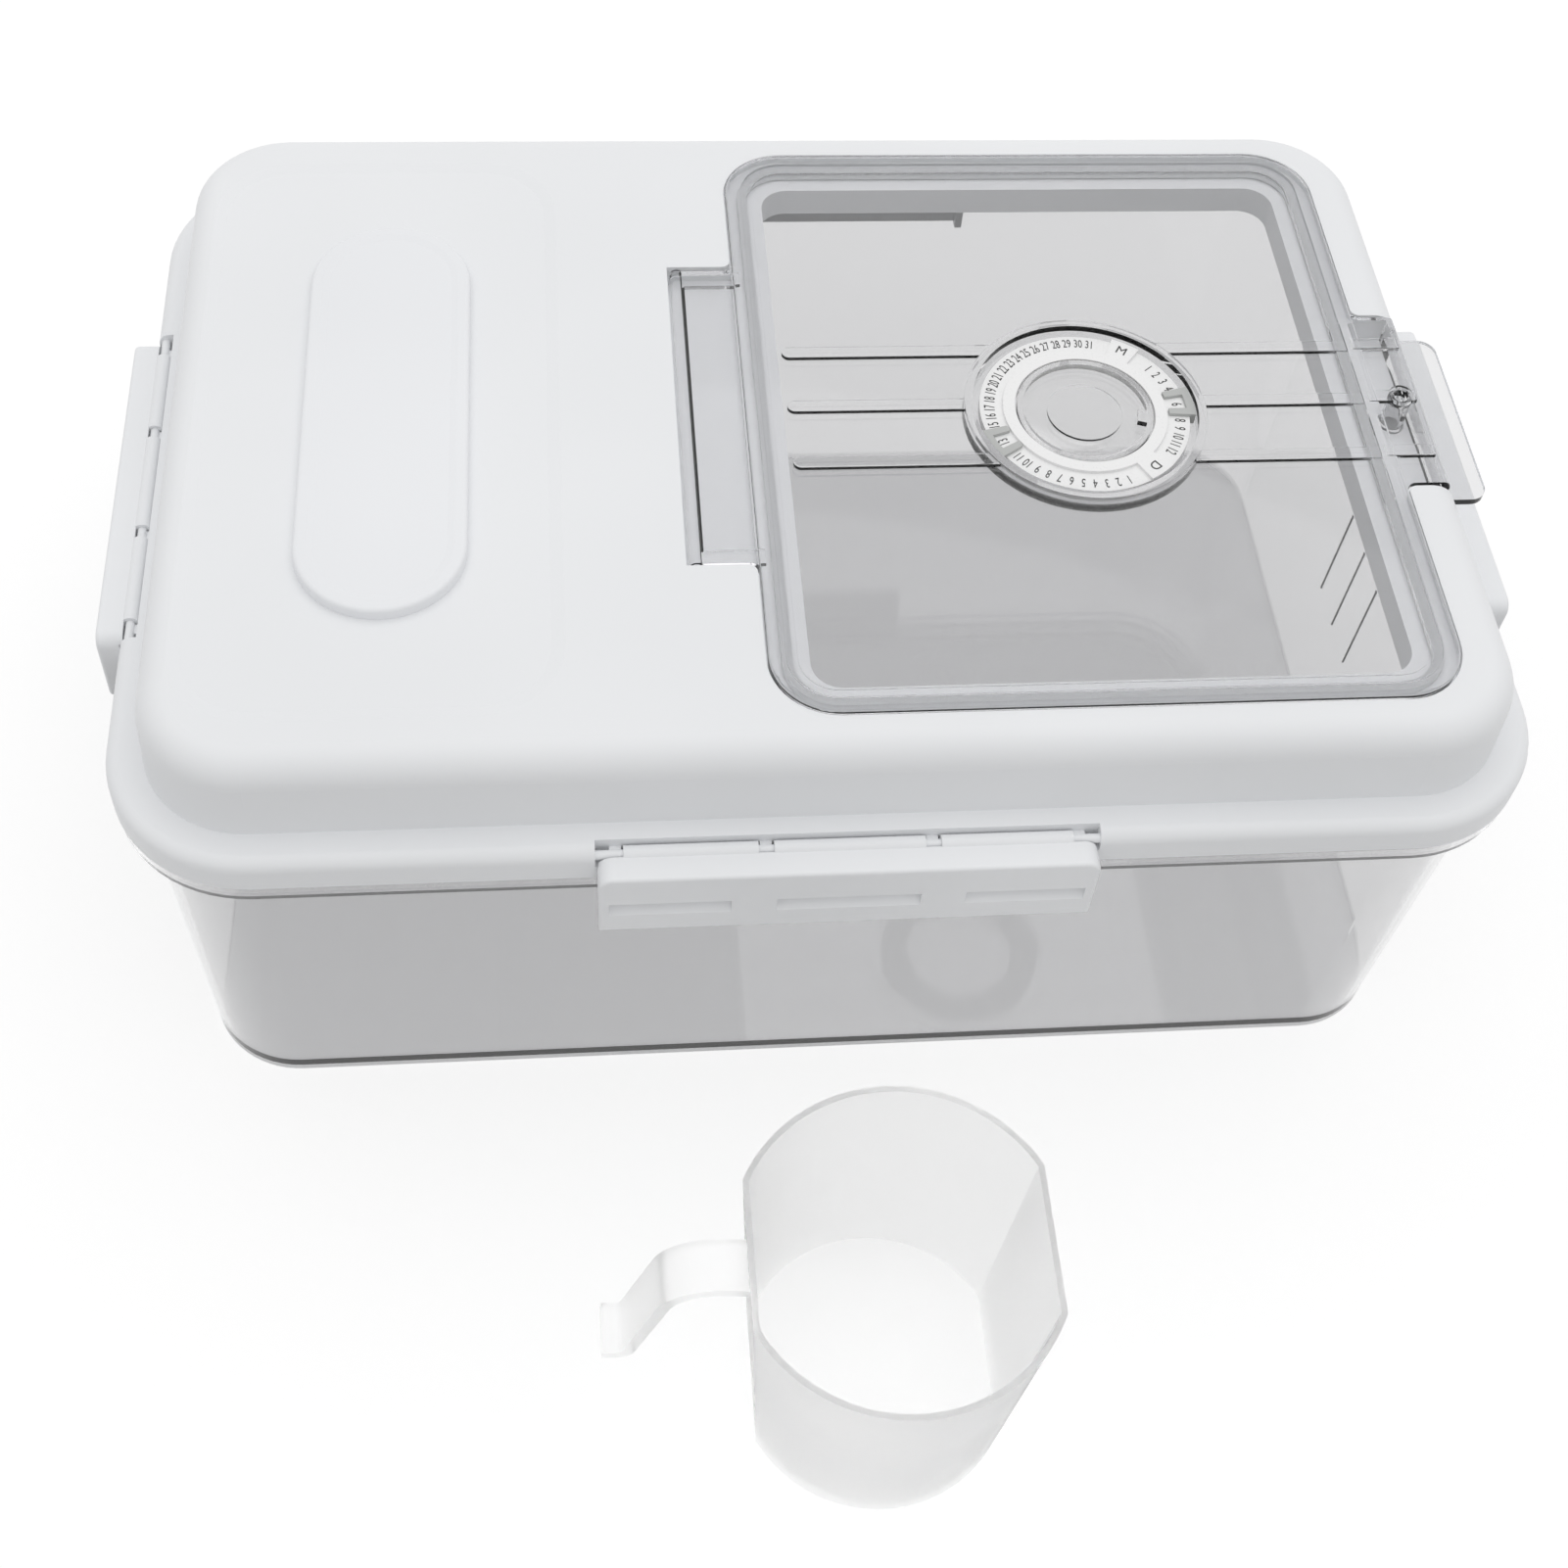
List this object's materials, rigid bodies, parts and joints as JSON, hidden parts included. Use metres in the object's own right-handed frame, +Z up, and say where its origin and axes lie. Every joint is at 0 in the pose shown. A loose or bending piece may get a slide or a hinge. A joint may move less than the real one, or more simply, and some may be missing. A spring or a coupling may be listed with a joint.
{
  "type": "bread box",
  "caption": "Clear rectangular food keeper with a white latched lid, a flip door with a date dial, a desiccant well and a measuring cup.",
  "frame": {"origin": "centre of the tub's base face", "axes": "+X along the length, towards the flip door's snap; +Y to the back; +Z up, square to the base face"},
  "size_m": [0.3832, 0.3876, 0.1544],
  "materials": {
    "smoke_clear": "clear smoke-grey moulded plastic",
    "white_plastic": "satin white moulded plastic",
    "silicone": "soft milky silicone",
    "sachet_paper": "non-woven paper",
    "white_scale": "white plastic with printed numbers",
    "grey_plastic": "light grey moulded plastic",
    "frosted_plastic": "translucent milky moulded plastic"
  },
  "bodies": {
    "tub": {"tub": "smoke_clear"},
    "lid": {"lid_shell": "white_plastic", "lid_gasket": "silicone", "desiccant_sachet": "sachet_paper"},
    "door": {"flip_door": "smoke_clear", "door_gasket": "silicone", "date_scale": "white_scale", "index_ring": "white_scale", "dial_hub": "smoke_clear"},
    "month_marker": {"month_pointer": "grey_plastic"},
    "day_marker": {"day_pointer": "grey_plastic"},
    "cover": {"desiccant_cover": "white_plastic"},
    "front_latch": {"latch_front": "white_plastic"},
    "back_latch": {"latch_back": "white_plastic"},
    "left_latch": {"latch_left": "white_plastic"},
    "right_latch": {"latch_right": "white_plastic"},
    "cup": {"measuring_cup": "frosted_plastic"}
  },
  "joints": [
    {"name": "lid_lift", "type": "slide", "parent": "tub", "child": "lid", "axis": [0, 0, 1], "range_m": [0, 0.14]},
    {"name": "door_hinge", "type": "hinge", "parent": "lid", "child": "door", "pos_m": [-0.0352, 0, 0.1491], "axis": [0, -1, 0], "range_deg": [0, 100]},
    {"name": "month_turn", "type": "hinge", "parent": "door", "child": "month_marker", "pos_m": [0.0755, -0.002, 0.148], "axis": [0, 0, 1], "range_deg": [-39.6, 33]},
    {"name": "day_turn", "type": "hinge", "parent": "door", "child": "day_marker", "pos_m": [0.0755, -0.002, 0.148], "axis": [0, 0, 1], "range_deg": [-126, 84]},
    {"name": "cover_lift", "type": "slide", "parent": "lid", "child": "cover", "axis": [0, 0, 1], "range_m": [0, 0.03]},
    {"name": "latch_front_hinge", "type": "hinge", "parent": "lid", "child": "front_latch", "pos_m": [0, -0.125, 0.124], "axis": [-1, 0, 0], "range_deg": [-4, 110]},
    {"name": "latch_back_hinge", "type": "hinge", "parent": "lid", "child": "back_latch", "pos_m": [0, 0.125, 0.124], "axis": [1, 0, 0], "range_deg": [-4, 110]},
    {"name": "latch_left_hinge", "type": "hinge", "parent": "lid", "child": "left_latch", "pos_m": [-0.183, 0, 0.124], "axis": [0, 1, 0], "range_deg": [-4, 110]},
    {"name": "latch_right_hinge", "type": "hinge", "parent": "lid", "child": "right_latch", "pos_m": [0.183, 0, 0.124], "axis": [0, -1, 0], "range_deg": [-4, 110]},
    {"name": "cup_lift", "type": "slide", "parent": "tub", "child": "cup", "axis": [0, 0, 1], "range_m": [0, 0.1]}
  ]
}
